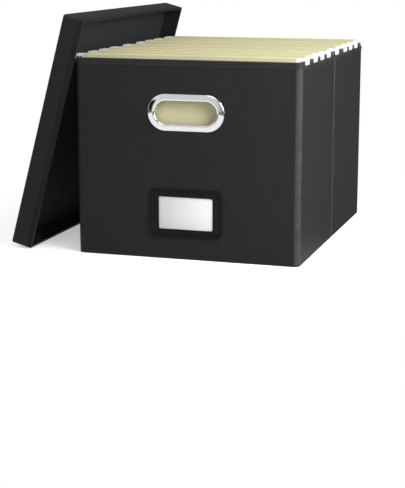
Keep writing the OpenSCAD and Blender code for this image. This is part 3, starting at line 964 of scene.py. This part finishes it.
def makeLid():
    cover = lidLook["coverThick"]
    inner = cover + lidLook["boardThick"]
    wall = inner + lidLook["liningThick"]
    base = hemTop
    big = lidLook["topRound"]
    soft = lidLook["innerRound"]
    makeTray("lidCover", (0, lidHeight, big), (cover, lidHeight - cover, big - cover),
             lidCloth, "lid_cover")
    makeTray("lidLining", (inner, lidBoardLow, soft),
             (wall, lidBoardLow - lidLook["liningThick"], soft),
             liningCloth, "lid_lining")
    # Band round the free edge
    edge = lidLook["edgeRound"]
    flat = lidLook["hemRound"]
    profile = roundCorners([(0, base), (-wall, base), (-wall, 0), (0, 0)], [flat, flat, edge, edge])
    band = carry("lidHem", lidOutline, list(reversed(profile)))
    waverEdge(band, base, lidLook)
    band.data.transform(lidPlace)
    finishPiece(band, "lid", lidHemShadedCloth, ["lid_rim_hem"])
    makeStitches("lidHemStitches", lidOutline, ((0, 1), (-wall, -1)),
                 base - lidLook["stitchDown"], "lid", lidPlace)


makeLid()
print("lid ready")


# Hanging folders

folderLook = dict(
    paper=0.5 * mm, turnHeight=12 * mm, foldRadius=2.6 * mm, topRound=0.75 * mm,
    bow=0.7 * mm,  # how far the faces hollow in towards the pocket
    ripple=0.35 * mm, rippleAcross=12, rippleDown=9, rippleStep=3.1,
    stiffTop=14 * mm, calmReach=60 * mm,  # no ripple near the rods, and less near the foot
    cellsAcross=28, cellsDown=20, footSteps=16,
)
rodLook = dict(
    tipRound=0.9 * mm, soft=0.5 * mm, topRound=1.1 * mm,
    hookHeight=3 * mm, tipThick=2.2 * mm, tipDrop=5 * mm,
)


def sheetLine(low, high, farOut, nearOut):
    # Middle line of a folded sheet: y and z, from one turned edge to the other
    paper = folderLook["paper"]
    top = high - paper / 2
    turnLow = high - folderLook["turnHeight"]
    fold = folderLook["foldRadius"] + paper / 2
    foldHeight = low + fold
    rounds = [0, 0, folderLook["topRound"], folderLook["topRound"], 0]
    left = roundCorners([(0, turnLow), (-nearOut, turnLow), (-nearOut, top), (-farOut, top),
                         (-farOut, turnLow)], rounds)[1:]
    start = Vector((-farOut, turnLow))
    end = Vector((-fold, foldHeight))
    cells = folderLook["cellsDown"]
    for k in range(1, cells):
        point = start.lerp(end, k / cells)
        point.x += folderLook["bow"] * math.sin(math.pi * k / cells)
        left.append(point)
    foot = [Vector(p) for p in arc(0, foldHeight, fold, 180, 360, folderLook["footSteps"])]
    return left + foot + [Vector((-p.x, p.y)) for p in reversed(left)]


def makeSheet(index):
    node = f"folder_{index}_sheet"
    low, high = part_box(node)
    rodLow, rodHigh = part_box(f"folder_{index}_front_rod")
    centre = middle(low, high)
    farOut = (high.y - low.y) / 2 - folderLook["paper"] / 2
    rodOut = centre.y - (rodLow.y + rodHigh.y) / 2
    nearOut = rodOut - (farOut - rodOut)
    line = sheetLine(low.z, high.z, farOut, nearOut)
    across = folderLook["cellsAcross"]
    calm = folderLook["calmReach"]
    points = []
    for i in range(across + 1):
        x = low.x + (high.x - low.x) * i / across
        for p in line:
            under = max(0, min(1, (high.z - folderLook["stiffTop"] - p.y) / calm))
            over = max(0, min(1, (p.y - low.z) / calm))
            spot = Vector((x * folderLook["rippleAcross"], p.y * folderLook["rippleDown"],
                           index * folderLook["rippleStep"] + (p.x > 0)))
            wave = folderLook["ripple"] * (under * over) * noise.noise(spot)
            points.append((x, centre.y + p.x + (wave if p.x < 0 else -wave), p.y))
    sheet = newPiece(f"folder{index}Sheet", points, gridFaces(across, len(line) - 1))
    card = sheet.modifiers.new("thickness", "SOLIDIFY")
    card.thickness = folderLook["paper"]
    card.offset = 0
    applyModifiers(sheet)
    finishPiece(sheet, f"folder_{index}", manilaCard, [node], facetAngle=11)


def rodFace():
    # A rod from the front: a flat strip whose ends hook over the rails
    low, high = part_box("folder_1_front_rod")
    railLow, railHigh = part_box("right_rail")
    hookLow = high.z - rodLook["hookHeight"]
    tip = high.x - rodLook["tipThick"]
    notch = railLow.x - (hookLow - railHigh.z)
    tipLow = railHigh.z - rodLook["tipDrop"]
    soft = rodLook["soft"]
    tipRound = rodLook["tipRound"]
    corners = [(0, low.z), (notch, low.z), (notch, hookLow), (tip, hookLow), (tip, tipLow),
               (high.x, tipLow), (high.x, high.z), (0, high.z)]
    radii = [0, soft, soft, soft, tipRound, tipRound, rodLook["topRound"], 0]
    half = roundCorners(corners, radii, steps=4)[1:-1]
    whole = half + [Vector((-p.x, p.y)) for p in reversed(half)]
    return [(p.x, 0, p.y) for p in whole]


def makeRods(index, outline):
    nodes = [f"folder_{index}_front_rod", f"folder_{index}_rear_rod"]
    low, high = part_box(nodes[0])
    front, rear = [middle(*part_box(node)).y for node in nodes]
    rods = newPiece(f"folder{index}Rods", outline, [tuple(range(len(outline)))])
    growPiece(rods, rodTree, {
        "Thickness": high.y - low.y, "Gap": rear - front, "Middle": (front + rear) / 2,
        "Coating": whiteCoat})
    finishPiece(rods, f"folder_{index}", whiteCoat, nodes, facetAngle=22.5)


folderCount = len([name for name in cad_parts
                   if name.startswith("folder_") and name.endswith("_sheet")])
rodOutline = rodFace()
for index in range(1, folderCount + 1):
    makeSheet(index)
    makeRods(index, rodOutline)
print("folders ready")


# Boards stay as the CAD nodes they are, with a board finish

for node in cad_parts.values():
    if not node.hide_render:
        node.data.materials.clear()
        node.data.materials.append(greyBoard)


# Studio

studioLook = dict(
    floorSize=9.0, floorCells=6, floorColour=(0.55, 0.55, 0.55, 1),
    seenColour=(0.97, 0.97, 0.97, 1), floorLift=0.42, fade=(0.22, 0.58),
    # On the floor, gloss sees a bright pool before the object, and it dims further out
    pool=(-0.25, -0.95, 0), poolFade=(0.75, 1.1), nearGlow=1.0, farGlow=0.12,
    worldLevel=0.37, lowSky=0.12, topSky=0.76, frontSky=0.7, leftSky=0.85,
    flagSky=0.01,
    # Spans of a ray's direction where each part of the sky fades in
    ceiling=(0.6, 0.9), front=(0.2, -0.15), low=(0.8, 0.6), right=(0.1, 0.5),
    left=(-0.5, -0.6), flagInner=(-0.6, -0.7), flagOuter=(-0.97, -0.9),
    flagTop=(0.36, 0.28),
)
lampLook = {  # azimuth and elevation in degrees, distance, size, power
    "rightLamp": (90, 12, 2.5, 1.3, 43), "keyLamp": (50, 25, 1.0, 0.5, 7.9),
    "topLamp": (5, 54, 1.0, 0.5, 1.45), "backLamp": (245, 35, 2.2, 1.3, 10),
}
lampAim = (0, 0, 0.13)


def clearNodes(data):
    data.use_nodes = True
    data.node_tree.nodes.clear()
    return data.node_tree


def makeFloor():
    half = studioLook["floorSize"] / 2
    cells = studioLook["floorCells"]
    lines = [-half + 2 * half * k / cells for k in range(cells + 1)]
    floor = newPiece("studioFloor", [(x, y, 0) for y in lines for x in lines],
                     gridFaces(cells, cells))
    material = bpy.data.materials.new("paleFloor")
    tree = clearNodes(material)
    path = addNode(tree, "LightPath")
    matt, seen = [addNode(tree, "BsdfDiffuse", {"Color": studioLook[key]})[0]
                  for key in ("floorColour", "seenColour")]
    glow = addNode(tree, "Emission", {"Strength": studioLook["floorLift"]})[0]
    shaded = addNode(tree, "AddShader", {0: seen, 1: glow})[0]
    # Away from the object the floor runs out into plain white
    place = addNode(tree, "TexCoord")["Object"]
    reach = vectorCalc(tree, "LENGTH", place)["Value"]
    plain = addNode(tree, "Emission", {"Strength": 1.0})[0]
    lifted = blendShader(tree, smoothStep(tree, reach, *studioLook["fade"]), shaded, plain)
    fromPool = vectorCalc(tree, "DISTANCE", place, studioLook["pool"])["Value"]
    level = smoothStep(tree, fromPool, *studioLook["poolFade"], studioLook["nearGlow"],
                       studioLook["farGlow"])
    mirrored = addNode(tree, "Emission", {"Strength": level})[0]
    unseen = blendShader(tree, path["Is Glossy Ray"], matt, mirrored)
    addNode(tree, "OutputMaterial", {
        "Surface": blendShader(tree, path["Is Camera Ray"], unseen, lifted)})
    floor.data.materials.append(material)


def makeWorld():
    world = bpy.data.worlds.new("studioWorld")
    bpy.context.scene.world = world
    tree = clearNodes(world)
    path = addNode(tree, "LightPath")
    split = addNode(tree, "SeparateXYZ", {
        "Vector": addNode(tree, "TexCoord")["Generated"]})

    def light(strength):
        return addNode(tree, "Background", {
            "Color": (1, 1, 1, 1), "Strength": strength})[0]

    def step(axis, part):
        return smoothStep(tree, split[axis], *studioLook[part])

    def both(first, second):
        return calc(tree, "MULTIPLY", first, second)

    # Gloss sees a bright ceiling and front, a dim right side, a bright left and a small dark flag
    low = step("Z", "low")
    sky = blendNumber(tree, step("Z", "ceiling"), studioLook["lowSky"], studioLook["topSky"])
    sky = blendNumber(tree, step("Y", "front"), sky, studioLook["frontSky"])
    sky = blendNumber(tree, both(low, step("X", "right")), sky, studioLook["lowSky"])
    sky = blendNumber(tree, both(low, step("X", "left")), sky, studioLook["leftSky"])
    flag = both(both(step("X", "flagInner"), step("X", "flagOuter")), step("Z", "flagTop"))
    sky = blendNumber(tree, flag, sky, studioLook["flagSky"])
    lit = blendShader(tree, path["Is Glossy Ray"], light(studioLook["worldLevel"]), light(sky))
    seen = calc(tree, "MAXIMUM", path["Is Camera Ray"], path["Is Transmission Ray"])
    addNode(tree, "OutputWorld", {"Surface": blendShader(tree, seen, lit, light(1.0))})


def aim(holder, target, azimuth, elevation, distance):
    # Stands a lamp or camera off its target, facing it
    a = math.radians(azimuth)
    e = math.radians(elevation)
    back = Vector((math.sin(a) * math.cos(e), -math.cos(a) * math.cos(e), math.sin(e)))
    holder.location = Vector(target) + back * distance
    holder.rotation_euler = (-back).to_track_quat("-Z", "Y").to_euler()


makeFloor()
makeWorld()
for name, (azimuth, elevation, distance, size, power) in lampLook.items():
    lamp = bpy.data.lights.new(name, "AREA")
    lamp.shape = "DISK"
    lamp.size = size
    lamp.energy = power
    aim(addObject(name, lamp), lampAim, azimuth, elevation, distance)

cameraLook = dict(
    azimuth=17.4, elevation=12.31, distance=2.0167,
    target=(-0.03994, 0, -0.02277),
    focal=1353.5, imageHeight=488,  # focal length in pixels of the photograph's frame
    nearest=0.05, farthest=60,
)
view = bpy.data.cameras.new("studioCamera")
camera = addObject("studioCamera", view)
aim(camera, *[cameraLook[key] for key in ("target", "azimuth", "elevation", "distance")])
view.lens = cameraLook["focal"] / cameraLook["imageHeight"] * view.sensor_width
view.clip_start = cameraLook["nearest"]
view.clip_end = cameraLook["farthest"]
bpy.context.scene.camera = camera
bpy.context.scene.view_settings.view_transform = "Standard"
print("studio ready")
